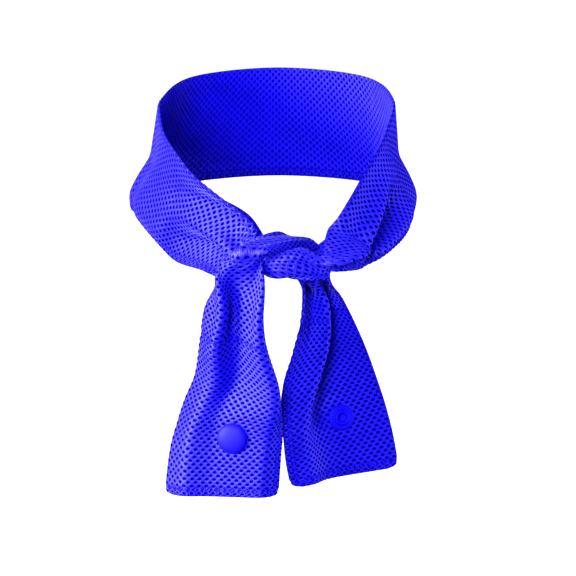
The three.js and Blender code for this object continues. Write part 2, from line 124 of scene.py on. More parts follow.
# Thread: its radius, the arch of a stitch and the depth of its ends in radii, and its mesh
THREAD_RADIUS = 0.24
THREAD_ARCH = 2.4
THREAD_DIVE = 0.9
THREAD_TIP = 0.05
THREAD_RINGS = 7
THREAD_SIDES = 6

# Press snaps: where they sit, and how far the cloth lies flat round them
LEFT_SNAP_TO_HEM = 27.0
RIGHT_SNAP_TO_HEM = 26.0
LEFT_SNAP_SHARE = 0.54
RIGHT_SNAP_SHARE = 0.37
SNAP_FLAT_FADE = 5.0
SNAP_SET_IN = 0.1
SNAP_SIDES = 72
AXIS_GAP = 0.02

# The domed cap
CAP_DIAMETER = 14.0
CAP_HEIGHT = 3.2
CAP_RIM_SHARE = 0.25
CAP_UNDERCUT = 0.6
CAP_EDGE = 0.1
CAP_EDGE_HEIGHT = 0.3
DOME_STEPS = 15
DOME_FULLNESS = 0.85

# The socket: its outer sizes, then its outline in millimetres and in shares of its height
RING_DIAMETER = 12.0
RING_HEIGHT = 1.8
BACK_DISC_DIAMETER = 12.0
BACK_DISC_HEIGHT = 1.6
INNER_RING_DIAMETER = 6.2
INNER_RING_RISE = 1.1
INNER_RING_WALL = 0.9
SOCKET_UNDERCUT = 0.6
SOCKET_SIDE_SHARE = 0.55
SOCKET_BEVEL_SHARE = 0.6
SOCKET_WAIST = 0.7
SOCKET_WAIST_SHARE = 0.86
SOCKET_HOLLOW = 1.3
SOCKET_HOLLOW_SHARE = 0.45
SOCKET_FLOOR_SHARE = 0.4
SOCKET_ROUNDING = 0.5
ROUNDING_STEPS = 5
LARGEST_ROUNDING_SHARE = 0.45

# Looks: the scale of the map on the cloth, and the fine relief of knit and plastic
MAP_UNITS_PER_METRE = 10
PATCH_SCALE = 9.0
PATCH_DETAIL = 5.0
PATCH_RANGE = (0.3, 0.62)
KNIT_SCALE = 70.0
KNIT_DISTORTION = 2.5
KNIT_DETAIL = 2.0
FIBRE_SCALE = 260.0
FIBRE_DETAIL = 3.0
KNIT_DEPTH = 0.0002
SHEEN_ROUGHNESS = 0.35
SHEEN_TINT = (0.8, 0.76, 1.0, 1.0)
CLOTH_GLOSS_TINT = (1.0, 0.95, 1.0, 1.0)
PLASTIC_GLOSS = 0.15
PLASTIC_GRAIN_SCALE = 420.0
PLASTIC_GRAIN_DETAIL = 4.0
PLASTIC_RELIEF = 0.15
PLASTIC_GRAIN_DEPTH = 0.0001

# Studio, in metres
FLOOR_SIZE = 8.0
FLOOR_LEVEL = -0.45
FLOOR_GLOW = 0.8
BACKDROP_RADIUS = 8.0
BACKDROP_GLOW = 1.0
STUDIO_WHITE = 0.9
STUDIO_ROUGHNESS = 0.9
LIGHT_TARGET = (0.0, -0.02, -0.04)
WORLD_COLOUR = (0.2, 0.15, 1.0, 1.0)
WORLD_STRENGTH = 0.09
CAMERA_TARGET = Vector((0.0042, 0.0, -0.062))
CAMERA_DISTANCE = 2.6
CAMERA_ELEVATION = math.radians(17)
CAMERA_LENS = 352.0
CAMERA_SENSOR = 36.0

# Where the strip runs: each zone's origin and the sizes that its shares are counted in
ZONES = {
    "tail": (
        (0, -KNOT_FORWARD, NAPE_RISE - KNOT_BELOW_NAPE),
        (TAIL_SPREAD / 2, KNOT_DEPTH, TAIL_LENGTH),
    ),
    "knot": (
        (0, -KNOT_FORWARD, NAPE_RISE - KNOT_BELOW_NAPE),
        (KNOT_WIDTH / 2, KNOT_DEPTH / 2, KNOT_HEIGHT / 2),
    ),
    "neck": (
        (0, 0, NAPE_RISE),
        (NECK_WIDTH / 2, NECK_DEPTH / 2, FRONT_DROP),
    ),
}

# How the strip is folded across: the slopes of four legs, the three shares of the width where
# one leg turns into the next, and how softly it turns
FOLDS = {
    "left_end": (0.6, -0.4, -0.15, -1.0, 0.2, 0.4, 0.82, 0.03),
    "left_snap": (0.6, -0.45, -0.15, -1.0, 0.2, 0.38, 0.81, 0.03),
    "left_mid": (0.5, -0.45, 0.05, -1.2, 0.21, 0.38, 0.8, 0.045),
    "left_high": (0.55, -0.62, 0.3, -1.3, 0.24, 0.42, 0.78, 0.045),
    "left_seam": (0.68, -0.85, 0.5, -1.25, 0.27, 0.45, 0.78, 0.04),
    "left_neck": (0.7, -1.0, 0.6, -1.2, 0.26, 0.46, 0.8, 0.03),
    "left_top": (0.6, -1.0, 0.6, -1.1, 0.28, 0.52, 0.82, 0.03),
    "tube": (0, -1, 0, 0, 0.31, 0.69, 0.95, 0.012),
    "right_exit": (0, -1, 0.2, -0.4, 0.31, 0.66, 0.9, 0.035),
    "right_2": (0.1, -1, 0.5, -0.6, 0.3, 0.62, 0.85, 0.035),
    "right_3": (0.2, -1, 0.6, -0.8, 0.28, 0.56, 0.8, 0.03),
    "right_4": (0.1, -0.3, 0.6, -1.0, 0.25, 0.5, 0.75, 0.03),
    "band": (-0.5, 0.8, 0.5, -1.3, 0.5, 0.7, 0.86, 0.05),
    "left_5": (-0.2, 0.5, 0.4, -1.2, 0.4, 0.65, 0.84, 0.05),
    "left_4": (-0.2, 0.4, 0.4, -1.0, 0.4, 0.65, 0.84, 0.05),
    "pleats": (-1, 1, -1, 1, 0.25, 0.5, 0.75, 0.03),
    "right_top": (-1, 1, -1, 0.8, 0.31, 0.54, 0.78, 0.035),
    "right_neck": (-0.7, 1.1, -0.8, -0.2, 0.38, 0.57, 0.8, 0.035),
    "right_seam": (-0.5, 1.2, -0.5, -0.15, 0.44, 0.6, 0.85, 0.035),
    "right_high": (-0.45, 1.2, -0.4, -0.1, 0.48, 0.63, 0.86, 0.05),
    "right_mid": (-0.4, 1.1, -0.35, -0.2, 0.53, 0.71, 0.89, 0.07),
    "right_snap": (-0.12, 0.6, -0.2, -0.3, 0.62, 0.8, 0.93, 0.1),
    "right_end": (-0.12, 0.6, -0.2, -0.3, 0.62, 0.8, 0.93, 0.11),
}

# Places along the strip, from the left hem to the right one: zone, place of the first edge, which
# is the upper one round the neck, line from there to the second edge, folds, and how far the cloth
# is pleated, how thick it is, whether its edges are held in line and how far it is a rolled tube
ROWS = (
    ("left_hem", "tail", (-0.985, -0.33, -1.06), (0.86, -0.18, 0.04), "left_end", (0, 1, 1, 0)),
    ("left_low", "tail", (-0.94, -0.21, -0.87), (0.84, -0.18, -0.01), "left_end", (0, 1, 1, 0)),
    ("left_snap", "tail", (-0.87, -0.12, -0.74), (0.79, -0.17, -0.05), "left_snap", (0, 1, 1, 0)),
    ("left_mid", "tail", (-0.81, -0.08, -0.645), (0.72, -0.15, -0.04), "left_mid", (0, 1, 1, 0)),
    ("left_high", "tail", (-0.72, -0.08, -0.53), (0.61, -0.13, -0.03), "left_high", (0, 1, 1, 0)),
    ("left_seam", "tail", (-0.67, -0.15, -0.36), (0.48, -0.1, -0.03), "left_seam", (0, 1, 1, 0)),
    ("left_neck", "tail", (-0.63, -0.29, -0.21), (0.43, -0.07, -0.02), "left_neck", (0.2, 0.9, 1, 0.12)),
    ("left_top", "tail", (-0.565, -0.38, -0.055), (0.39, -0.05, 0), "left_top", (0, 0.8, 1, 0.65)),
    ("roll_front", "knot", (-1.2, -0.92, 0.05), (0.28, -0.02, 0.02), "tube", (0, 0.7, 0, 1)),
    ("roll_top", "knot", (-0.98, -0.92, 0.45), (0.27, -0.05, 0.02), "tube", (0, 0.7, 0, 1)),
    ("hump", "knot", (-0.3, 0.28, 0.62), (0.29, -0.03, -0.05), "tube", (0, 0.7, 0, 1)),
    ("back_high", "knot", (-0.05, 0.8, 0.45), (0.32, 0, -0.08), "tube", (0, 0.7, 0, 1)),
    ("back_low", "knot", (-0.15, 0.9, -0.25), (0.27, 0, 0), "tube", (0, 0.7, 0, 1)),
    ("under", "knot", (-0.45, 0.3, -0.6), (0.27, 0, 0), "tube", (0, 0.7, 0, 1)),
    ("lobe_low", "knot", (-0.45, -0.62, -0.25), (0.26, 0, -0.07), "tube", (0, 0.7, 0, 1)),
    ("lobe_mid", "knot", (0.0, -0.92, 0.3), (0.22, 0.03, -0.19), "tube", (0, 0.7, 0, 1)),
    ("lobe_high", "knot", (0.47, -0.82, 0.52), (0.17, 0.05, -0.24), "tube", (0, 0.7, 0, 1)),
    ("right_exit", "knot", (0.92, -0.75, 0.45), (0.17, 0.08, -0.215), "right_exit", (0, 0.75, 1, 0.45)),
    ("right_1", "neck", (0.41, -1.06, -0.85), (0.25, 0.18, -0.37), "right_exit", (0, 0.85, 1, 0)),
    ("right_2", "neck", (0.51, -0.97, -0.69), (0.32, 0.3, -0.49), "right_2", (0, 1, 1, 0)),
    ("right_3", "neck", (0.67, -0.79, -0.47), (0.3, 0.43, -0.66), "right_3", (0, 1, 1, 0)),
    ("right_4", "neck", (0.85, -0.52, -0.255), (0.22, 0.48, -0.81), "right_4", (0, 1, 1, 0)),
    ("right_5", "neck", (0.915, -0.31, -0.157), (0.175, 0.435, -0.865), "band", (0, 1, 1, 0)),
    ("right_side", "neck", (0.965, 0.1, -0.02), (0.155, 0.28, -0.93), "band", (0, 1, 1, 0)),
    ("right_back", "neck", (0.735, 0.72, 0), (0.14, 0.27, -0.95), "band", (0, 1, 1, 0)),
    ("nape", "neck", (0, 1, 0), (0, 0.29, -0.957), "band", (0, 1, 1, 0)),
    ("left_back", "neck", (-0.735, 0.72, 0), (-0.14, 0.27, -0.95), "band", (0, 1, 1, 0)),
    ("left_side", "neck", (-0.985, 0.1, -0.01), (-0.225, 0.25, -0.925), "band", (0, 1, 1, 0)),
    ("left_6", "neck", (-1.0, -0.17, -0.09), (-0.2, 0.37, -0.89), "band", (0, 1, 1, 0)),
    ("left_5", "neck", (-0.963, -0.43, -0.173), (-0.195, 0.475, -0.84), "left_5", (0, 1, 1, 0)),
    ("left_4", "neck", (-0.867, -0.64, -0.276), (-0.15, 0.475, -0.853), "left_4", (0, 1, 1, 0)),
    ("left_3", "neck", (-0.68, -0.81, -0.47), (-0.18, 0.507, -0.8), "pleats", (0.2, 1, 1, 0)),
    ("left_2", "neck", (-0.34, -0.98, -0.7), (-0.27, 0.367, -0.58), "pleats", (0.4, 0.9, 1, 0)),
    ("left_1", "neck", (-0.174, -1.03, -0.86), (-0.3, 0.25, -0.44), "pleats", (0.7, 0.8, 1, 0.1)),
    ("core_in", "knot", (-0.35, 0.17, 0.3), (-0.14, 0.06, -0.15), "pleats", (1, 0.7, 0, 0.8)),
    ("core_left", "knot", (0.1, 0.0, 0.15), (-0.02, 0.02, -0.075), "pleats", (1, 0.7, 0, 1)),
    ("core_mid", "knot", (0.4, 0.0, 0.1), (0, 0, -0.075), "pleats", (1, 0.7, 0, 1)),
    ("core_right", "knot", (0.6, 0.15, 0.02), (-0.06, 0, -0.075), "pleats", (1, 0.7, 0, 1)),
    ("core_out", "knot", (0.9, 0.35, -0.25), (-0.15, 0, -0.05), "pleats", (1, 0.7, 0, 1)),
    ("right_top", "tail", (0.45, 0.16, -0.105), (-0.265, -0.05, 0), "right_top", (0, 0.8, 1, 0.6)),
    ("right_neck", "tail", (0.56, 0.36, -0.225), (-0.32, -0.2, -0.05), "right_neck", (0, 0.9, 1, 0.1)),
    ("right_seam", "tail", (0.69, 0.55, -0.38), (-0.5, -0.33, -0.08), "right_seam", (0, 1, 1, 0)),
    ("right_high", "tail", (0.77, 0.62, -0.485), (-0.635, -0.39, -0.1), "right_high", (0, 1, 1, 0)),
    ("right_mid", "tail", (0.84, 0.66, -0.59), (-0.72, -0.43, -0.12), "right_mid", (0, 1, 1, 0)),
    ("right_snap", "tail", (0.925, 0.67, -0.725), (-0.777, -0.46, -0.12), "right_snap", (0, 1, 1, 0)),
    ("right_low", "tail", (0.995, 0.64, -0.865), (-0.818, -0.47, -0.07), "right_end", (0, 1, 1, 0)),
    ("right_hem", "tail", (1.045, 0.56, -1.01), (-0.823, -0.47, -0.01), "right_end", (0, 1, 1, 0)),
)
ROW_NAMES = [row[0] for row in ROWS]
COLUMNS = (
    "x", "y", "z", "dx", "dy", "dz", "s1", "s2", "s3", "s4",
    "p1", "p2", "p3", "soft", "pleat", "wall", "held", "roll",
)


def stations_from_rows():
    """The rows as numbers in millimetres, one line of columns for each."""
    table = []
    for _, zone, edge, chord, folds, rest in ROWS:
        origin, scale = ZONES[zone]
        place = np.array(origin) + np.array(edge, float) * np.array(scale)
        line = np.array(chord, float) * STRIP_WIDTH
        table.append(np.concatenate([place, line, FOLDS[folds], rest]))
    return np.array(table)


STATIONS = stations_from_rows()


def station_at(place):
    """A smooth curve through all columns at once, for places counted in rows."""
    last = len(STATIONS) - 1
    index = np.clip(np.floor(place).astype(int), 0, last - 1)
    f = (place - index)[:, None]
    before = STATIONS[np.maximum(index - 1, 0)]
    a = STATIONS[index]
    b = STATIONS[index + 1]
    after = STATIONS[np.minimum(index + 2, last)]
    slope_a = (b - before) / 2
    slope_b = (after - a) / 2
    cubic = 2 * a - 2 * b + slope_a + slope_b
    square = 3 * b - 3 * a - 2 * slope_a - slope_b
    return ((cubic * f + square) * f + slope_a) * f + a


def column(stations, name):
    """One named column of the stations, upright, so that it spreads across the strip."""
    return stations[:, COLUMNS.index(name)][:, None]


def chord_of(stations):
    """The straight line from the first edge of the strip to the second."""
    return stations[:, 3:6]


def centre_at(place):
    """The middle between both edges, for places counted in rows."""
    stations = station_at(place)
    return stations[:, :3] + chord_of(stations) / 2


# Lengths along the middle of the strip, to find places by millimetres
PLACES = np.linspace(0, len(ROWS) - 1, (len(ROWS) - 1) * CURVE_STEPS + 1)
STEP_LENGTHS = np.linalg.norm(np.diff(centre_at(PLACES), axis=0), axis=1)
LENGTHS = np.concatenate([[0], np.cumsum(STEP_LENGTHS)])
STRIP_LENGTH = float(LENGTHS[-1])
LEFT_SEAM = SEAM_TO_HEM
RIGHT_SEAM = STRIP_LENGTH - SEAM_TO_HEM
SNAP_PLACES = (
    (LEFT_SNAP_TO_HEM, LEFT_SNAP_SHARE),
    (STRIP_LENGTH - RIGHT_SNAP_TO_HEM, RIGHT_SNAP_SHARE),
)

# The lattice of eyelets, with a whole number of them along the strip
ALONG_COUNT = 2 * int(round(STRIP_LENGTH / EYELET_PITCH / 2))
HALF_PITCH = np.array([STRIP_LENGTH / ALONG_COUNT / 2, STRIP_WIDTH / EYELETS_ACROSS / 2])

# The outline of one cell of the lattice, in half pitches along and across
CELL = np.array([
    (1, 0), (0.5, 0.5), (0, 1), (-0.5, 0.5),
    (-1, 0), (-0.5, -0.5), (0, -1), (0.5, -0.5),
])


def length_of(row_name):
    """How far along the strip a row lies."""
    return float(np.interp(ROW_NAMES.index(row_name), PLACES, LENGTHS))


def unit(vectors):
    """The same directions with a length of one."""
    return vectors / np.maximum(np.linalg.norm(vectors, axis=-1, keepdims=True), TINY)


def smooth_step(value):
    """From 0 to 1 with soft ends."""
    value = np.clip(value, 0, 1)
    return value * value * (3 - 2 * value)


def bump(value, width):
    """1 at zero, falling softly to nothing on both sides."""
    return np.exp(-((value / width) ** 2))


def raw_slopes(stations, shares):
    """Slopes of the section at shares of the width, before they are scaled to fit."""
    def step(name):
        return 0.5 + 0.5 * np.tanh((shares - column(stations, name)) / column(stations, "soft"))

    s1, s2, s3, s4 = (column(stations, name) for name in ("s1", "s2", "s3", "s4"))
    legs = s1 + (s2 - s1) * step("p1") + (s3 - s2) * step("p2") + (s4 - s3) * step("p3")
    pleats = np.cos(2 * np.pi * PLEAT_COUNT * shares)
    blend = column(stations, "pleat")
    return (1 - blend) * legs + blend * pleats


def folded_sections(stations):
    """Sections whose ends lie as far apart as the strip's edges do: across and outward."""
    middles = (np.arange(GRID_ACROSS) + 0.5)[None] / GRID_ACROSS
    slopes = raw_slopes(stations, middles)
    wanted = np.linalg.norm(chord_of(stations), axis=1)
    low = np.zeros(len(stations))
    high = np.full(len(stations), LARGEST_SWING)
    for _ in range(SOLVE_ROUNDS):
        swing = (low + high) / 2
        reach = np.cos(slopes * swing[:, None]).mean(axis=1) * STRIP_WIDTH
        wide = reach > wanted
        low = np.where(wide, swing, low)
        high = np.where(wide, high, swing)
    angles = slopes * ((low + high) / 2)[:, None]
    step = STRIP_WIDTH / GRID_ACROSS
    zero = np.zeros((len(stations), 1))
    x = np.concatenate([zero, np.cumsum(np.cos(angles), axis=1)], axis=1) * step
    y = np.concatenate([zero, np.cumsum(np.sin(angles), axis=1)], axis=1) * step
    held = column(stations, "held")
    y = y - held * x * y[:, -1:] / x[:, -1:] - (1 - held) * y[:, -1:] / 2
    return x, y


def rolled_sections(chord, shares):
    """Sections with both edges rolled under, as a flat tube: across and outward."""
    angle = 2 * np.pi * (shares - 0.5)
    rounded_sin = np.sign(np.sin(angle)) * np.abs(np.sin(angle)) ** ROLL_SQUARENESS
    rounded_cos = np.sign(np.cos(angle)) * np.abs(np.cos(angle)) ** ROLL_SQUARENESS
    return chord / 2 * (1 + rounded_sin), ROLL_THICKNESS / 2 * rounded_cos


def pulled_folds(distance, shares, pull):
    """The folds that run along a panel into the knot, by the distance from the knot."""
    height, count, turn, start, kept, fade = pull
    strength = smooth_step(distance / PULL_FADE_IN) * bump(np.maximum(distance - kept, 0), fade)
    wave = height * np.sin(2 * np.pi * (count * shares + distance / turn + start))
    return strength * wave * (distance > 0)


def creases(lengths, shares, roll, chord):
    """Small soft folds that run along the gathered cloth, deepest where it is drawn tightest."""
    tightness = np.clip((TIGHT_CHORD - chord) / TIGHT_CHORD_RANGE, 0, 1)
    gathered = smooth_step(roll * GATHER_ONSET) * (1 + TIGHT_GAIN * tightness)
    wave = sum(
        height * np.sin(2 * np.pi * (count * shares + lengths / turn) + start)
        for height, count, turn, start in GATHERS
    )
    panels = (
        pulled_folds(lengths - length_of("right_1"), shares, RIGHT_PULL)
        + pulled_folds(length_of("left_1") - lengths, shares, LEFT_PULL)
    )
    return gathered * wave + panels


class Strip:
    """The middle surface of the strip on a fine grid of length and share of the width."""

    def __init__(self):
        self.lengths = np.linspace(0, STRIP_LENGTH, int(STRIP_LENGTH / GRID_STEP) + 1)
        self.shares = np.linspace(0, 1, GRID_ACROSS + 1)
        places = np.interp(self.lengths, LENGTHS, PLACES)
        stations = station_at(places)
        chord = np.linalg.norm(chord_of(stations), axis=1)[:, None]
        roll = column(stations, "roll")
        x, y = folded_sections(stations)
        roll_x, roll_y = rolled_sections(chord, self.shares[None])
        x = x + (roll_x - x) * smooth_step(roll)
        y = y + (roll_y - y) * smooth_step(roll)
        y = y + creases(self.lengths[:, None], self.shares[None], roll, chord)
        heading = centre_at(places + HEADING_NUDGE) - centre_at(places - HEADING_NUDGE)
        across = unit(chord_of(stations))
        outward = unit(np.cross(across, heading))
        self.points = (
            stations[:, None, :3] + x[..., None] * across[:, None] + y[..., None] * outward[:, None]
        )
        self.wall = column(stations, "wall")[:, 0] * CLOTH_THICKNESS
        self.set_normals()
        self.seats = [self.press_flat(length, share) for length, share in SNAP_PLACES]
        self.set_normals()

    def set_normals(self):
        """Outward directions from the grid's own neighbours."""
        along = np.gradient(self.points, axis=0)
        side = np.gradient(self.points, axis=1)
        self.normals = unit(np.cross(side, along))

    def press_flat(self, length, share):
        """Lays the cloth flat under a snap, and gives the snap's centre and its direction."""
        centre, normal, _ = self.sample(np.array([length]), np.array([share]))
        across = (self.shares - share)[None] * STRIP_WIDTH
        distance = np.hypot(across, (self.lengths - length)[:, None])
        weight = 1 - smooth_step((distance - CAP_DIAMETER / 2) / SNAP_FLAT_FADE)
        level = (self.points - centre[0]) @ normal[0]
        self.points = self.points - (weight * level)[..., None] * normal[0]
        return centre[0], normal[0]

    def sample(self, lengths, shares):
        """Points, outward normals and wall thickness at lengths and shares of the width."""
        row = np.clip(lengths / STRIP_LENGTH, 0, 1) * (len(self.lengths) - 1)
        col = np.clip(shares, 0, 1) * GRID_ACROSS
        r0 = np.minimum(row.astype(int), len(self.lengths) - 2)
        c0 = np.minimum(col.astype(int), GRID_ACROSS - 1)
        fr = (row - r0)[:, None]
        fc = (col - c0)[:, None]

        def mix(grid):
            low = grid[r0, c0] * (1 - fc) + grid[r0, c0 + 1] * fc
            high = grid[r0 + 1, c0] * (1 - fc) + grid[r0 + 1, c0 + 1] * fc
            return low * (1 - fr) + high * fr

        wall = np.interp(lengths, self.lengths, self.wall)
        return mix(self.points), unit(mix(self.normals)), wall


STRIP = Strip()


def corner_inset(lengths):
    """How far a rounded corner draws the edge in, at a distance from the hem."""
    reach = np.clip(CORNER_RADIUS - np.minimum(lengths, STRIP_LENGTH - lengths), 0, CORNER_RADIUS)
    return CORNER_RADIUS - np.sqrt(CORNER_RADIUS**2 - reach**2)


def shares_on_strip(lengths, across):
    """Shares of the width for distances across it, drawn in at the rounded corners."""
    inset = corner_inset(lengths)
    return (inset + across * (STRIP_WIDTH - 2 * inset) / STRIP_WIDTH) / STRIP_WIDTH


def seam_dip(lengths, across):
    """How far the face sinks along its sewn lines."""
    seam = np.minimum(np.abs(lengths - LEFT_SEAM), np.abs(lengths - RIGHT_SEAM))
    edge = STRIP_WIDTH - across - EDGE_SEAM_INSET
    hem = np.minimum(lengths, STRIP_LENGTH - lengths) - HEM_STITCH_INSET
    dip = CROSS_SEAM_DIP * bump(seam, SEAM_HALF_WIDTH)
    dip = np.maximum(dip, EDGE_SEAM_DIP * bump(edge, SEAM_HALF_WIDTH))
    return np.maximum(dip, EDGE_SEAM_DIP * bump(hem, SEAM_HALF_WIDTH))


def place_on_face(lengths, across, depth, side):
    """Points on one face of the cloth, sunk by a depth. The side is 1 outside and -1 inside."""
    points, normals, wall = STRIP.sample(lengths, shares_on_strip(lengths, across))
    edge = np.minimum(across, STRIP_WIDTH - across)
    edge = np.minimum(edge, np.minimum(lengths, STRIP_LENGTH - lengths))
    rounded = np.sqrt(np.clip(1 - (1 - np.clip(edge / EDGE_ROUNDING, 0, 1)) ** 2, 0, 1))
    height = wall / 2 * rounded - np.minimum(seam_dip(lengths, across) + depth, wall / 2) * rounded
    return points + normals * (side * height)[:, None]


def build_mesh(name, points, faces, uvs, materials, face_materials):
    """An object from arrays in millimetres, smooth shaded, with a length and width map."""
    mesh = bpy.data.meshes.new(name)
    mesh.from_pydata((points * METRE).tolist(), [], faces)
    for material in materials:
        mesh.materials.append(material)
    mesh.polygons.foreach_set("material_index", face_materials)
    mesh.polygons.foreach_set("use_smooth", np.ones(len(faces), bool))
    layer = mesh.uv_layers.new(name="cloth_map")
    loops = np.zeros(len(mesh.loops), np.int32)
    mesh.loops.foreach_get("vertex_index", loops)
    layer.data.foreach_set("uv", (uvs[loops] * METRE * MAP_UNITS_PER_METRE).ravel())
    mesh.update()
    piece = bpy.data.objects.new(name, mesh)
    bpy.context.scene.collection.objects.link(piece)
    return piece


def stretch_at(centres, step, side):
    """How many times longer a step on the cloth is there than on the flat strip."""
    ahead, behind = centres + np.array(step), centres - np.array(step)
    level = np.zeros(len(centres))
    span = place_on_face(*ahead.T, level, side) - place_on_face(*behind.T, level, side)
    return np.linalg.norm(span, axis=1) / (2 * np.linalg.norm(step))


def cells_between(from_length, to_length):
    """Cells between two lengths, in half pitches: with a hole, cut by an edge, and sewn."""
    along, across = HALF_PITCH
    far_along, far_across = 2 * ALONG_COUNT, 2 * EYELETS_ACROSS
    first = int(round(from_length / along))
    last = int(round(to_length / along))
    stop = last + 1 if last == far_along else last
    open_cells, edge_cells, sewn_cells = [], [], []
    for i in range(first, stop):
        for j in range(i % 2, far_across + 1, 2):
            if i in (0, far_along) or j in (0, far_across):
                edge_cells.append((i, j))
            elif seam_dip(i * along, j * across) > SEAM_CELL_DIP:
                sewn_cells.append((i, j))
            else:
                open_cells.append((i, j))
    return open_cells, edge_cells, sewn_cells


def inside_strip(outline):
    """The corners of a cut cell that lie on the flat strip, in order round their middle."""
    kept = [
        (round(u, EDGE_DIGITS), round(v, EDGE_DIGITS))
        for u, v in outline
        if -EDGE_TOLERANCE <= u <= STRIP_LENGTH + EDGE_TOLERANCE
        and -EDGE_TOLERANCE <= v <= STRIP_WIDTH + EDGE_TOLERANCE
    ]
    middle = np.mean(kept, axis=0)
    return sorted(kept, key=lambda point: math.atan2(point[1] - middle[1], point[0] - middle[0]))


def eyelet_face(name, from_length, to_length, side, materials):
    """One face of the cloth between lengths: its web, and its holes, sewn and edge cells in painted
    shade.
    """
    # The holes and the sewn and edge cells take darker blues: painted shade in the recesses, seams and
    # edges
    web_slot, painted_shade_hole_slot, painted_shade_seam_and_edge_slot = range(3)
    corners = len(CELL)
    open_cells, edge_cells, sewn_cells = cells_between(from_length, to_length)
    centres = np.array(open_cells, float) * HALF_PITCH
    stretch = [stretch_at(centres, step, side) for step in np.diag(HALF_PITCH)]
    angles = np.arctan2(CELL[:, 1], CELL[:, 0])
    hole = np.stack([np.cos(angles) * HOLE_ALONG, np.sin(angles) * HOLE_ACROSS], axis=1)
    holes = hole / np.maximum(np.stack(stretch, axis=1), 1.0)[:, None]
    rings = ((CELL * HALF_PITCH, WEB_SINK), (holes, 0.0), (holes * HOLE_TAPER, HOLE_DEPTH))
    count = len(centres) * corners
    plan = np.concatenate([(centres[:, None] + offsets).reshape(-1, 2) for offsets, _ in rings])
    sunk = np.repeat([depth for _, depth in rings], count)
    here = np.arange(count).reshape(-1, corners)
    there = np.roll(here, -1, axis=1)
    web = np.stack([here, there, there + count, here + count], axis=-1).reshape(-1, 4)
    wall = web + count
    floor = here + 2 * count
    faces = [*web.tolist(), *wall.tolist(), *floor.tolist()]
    face_materials = [web_slot] * len(web) + [painted_shade_hole_slot] * (len(wall) + len(floor))
    more = []
    for cell in edge_cells:
        outline = inside_strip(np.array(cell) * HALF_PITCH + CELL * HALF_PITCH)
        start = len(plan) + len(more)
        faces.append(list(range(start, start + len(outline))))
        face_materials.append(painted_shade_seam_and_edge_slot)
        more.extend(outline)
    for cell in sewn_cells:
        centre = np.array(cell) * HALF_PITCH
        start = len(plan) + len(more)
        more.extend([tuple(centre), *map(tuple, centre + CELL * HALF_PITCH)])
        for k in range(corners):
            faces.append([start, start + 1 + k, start + 1 + (k + 1) % corners])
            face_materials.append(painted_shade_seam_and_edge_slot)
    plan = np.concatenate([plan, np.array(more)])
    sunk = np.concatenate([sunk, np.full(len(more), WEB_SINK)])
    keys = np.round(np.column_stack([plan, sunk]) * MERGES_PER_MILLIMETRE).astype(np.int64)
    _, kept, merged = np.unique(keys, axis=0, return_index=True, return_inverse=True)
    merged = merged.ravel()
    plan, sunk = plan[kept], sunk[kept]
    faces = [[int(merged[corner]) for corner in face] for face in faces]
    if side > 0:
        faces = [face[::-1] for face in faces]
    points = place_on_face(*plan.T, sunk, side)
    return build_mesh(name, points, faces, plan, materials, face_materials)


def lathe(name, profile, seat, face_sign, material):
    """A turned piece set square to the cloth at a snap's seat."""
    centre, normal = seat
    axis = Vector(normal * face_sign)
    turn = np.array(axis.to_track_quat("Z", "Y").to_matrix())
    angles = np.linspace(0, 2 * np.pi, SNAP_SIDES, endpoint=False)
    rings = [
        np.stack([radius * np.cos(angles), radius * np.sin(angles), np.full(SNAP_SIDES, height)], 1)
        for radius, height in profile
    ]
    points = np.concatenate(rings) @ turn.T + centre
    faces = []
    for ring in range(len(profile) - 1):
        for i in range(SNAP_SIDES):
            a = ring * SNAP_SIDES + i
            b = ring * SNAP_SIDES + (i + 1) % SNAP_SIDES
            faces.append([a, b, b + SNAP_SIDES, a + SNAP_SIDES])
    faces.append(list(range(SNAP_SIDES))[::-1])
    faces.append([(len(profile) - 1) * SNAP_SIDES + i for i in range(SNAP_SIDES)])
    uvs = np.zeros((len(points), 2))
    return build_mesh(name, points, faces, uvs, [material], [0] * len(faces))


def rounded_profile(corners):
    """A profile with its inner corners rounded."""
    out = [corners[0]]
    for before, here, after in zip(corners, corners[1:], corners[2:]):
        a = np.array(before, float)
        b = np.array(here, float)
        c = np.array(after, float)
        shortest = min(np.linalg.norm(a - b), np.linalg.norm(c - b))
        reach = min(SOCKET_ROUNDING, shortest * LARGEST_ROUNDING_SHARE)
        start = b + (a - b) / np.linalg.norm(a - b) * reach
        end = b + (c - b) / np.linalg.norm(c - b) * reach
        for k in range(ROUNDING_STEPS + 1):
            f = k / ROUNDING_STEPS
            out.append(tuple((1 - f) ** 2 * start + 2 * f * (1 - f) * b + f * f * end))
    out.append(corners[-1])
    return out


def cap_profile():
    """The domed cap, from the edge of its underside to the top."""
    base = CLOTH_THICKNESS / 2 - SNAP_SET_IN
    radius = CAP_DIAMETER / 2
    rim = CAP_HEIGHT * CAP_RIM_SHARE
    outline = [
        (radius - CAP_UNDERCUT, base),
        (radius - CAP_EDGE, base),
        (radius, base + CAP_EDGE_HEIGHT),
    ]
    for step in range(1, DOME_STEPS + 1):
        angle = step / DOME_STEPS * math.pi / 2
        reach = max(radius * math.cos(angle) ** DOME_FULLNESS, AXIS_GAP)
        outline.append((reach, base + rim + (CAP_HEIGHT - rim) * math.sin(angle)))
    return outline


def disc_profile(radius, height):
    """The socket: a flange, a raised ring and a hollow middle."""
    base = CLOTH_THICKNESS / 2 - SNAP_SET_IN
    ring = INNER_RING_DIAMETER / 2
    return rounded_profile([
        (radius - SOCKET_UNDERCUT, base),
        (radius, base),
        (radius, base + height * SOCKET_SIDE_SHARE),
        (radius - height * SOCKET_BEVEL_SHARE, base + height),
        (ring + SOCKET_WAIST, base + height * SOCKET_WAIST_SHARE),
        (ring, base + height + INNER_RING_RISE),
        (ring - INNER_RING_WALL, base + height + INNER_RING_RISE),
        (ring - SOCKET_HOLLOW, base + height * SOCKET_HOLLOW_SHARE),
        (AXIS_GAP, base + height * SOCKET_FLOOR_SHARE),
    ])


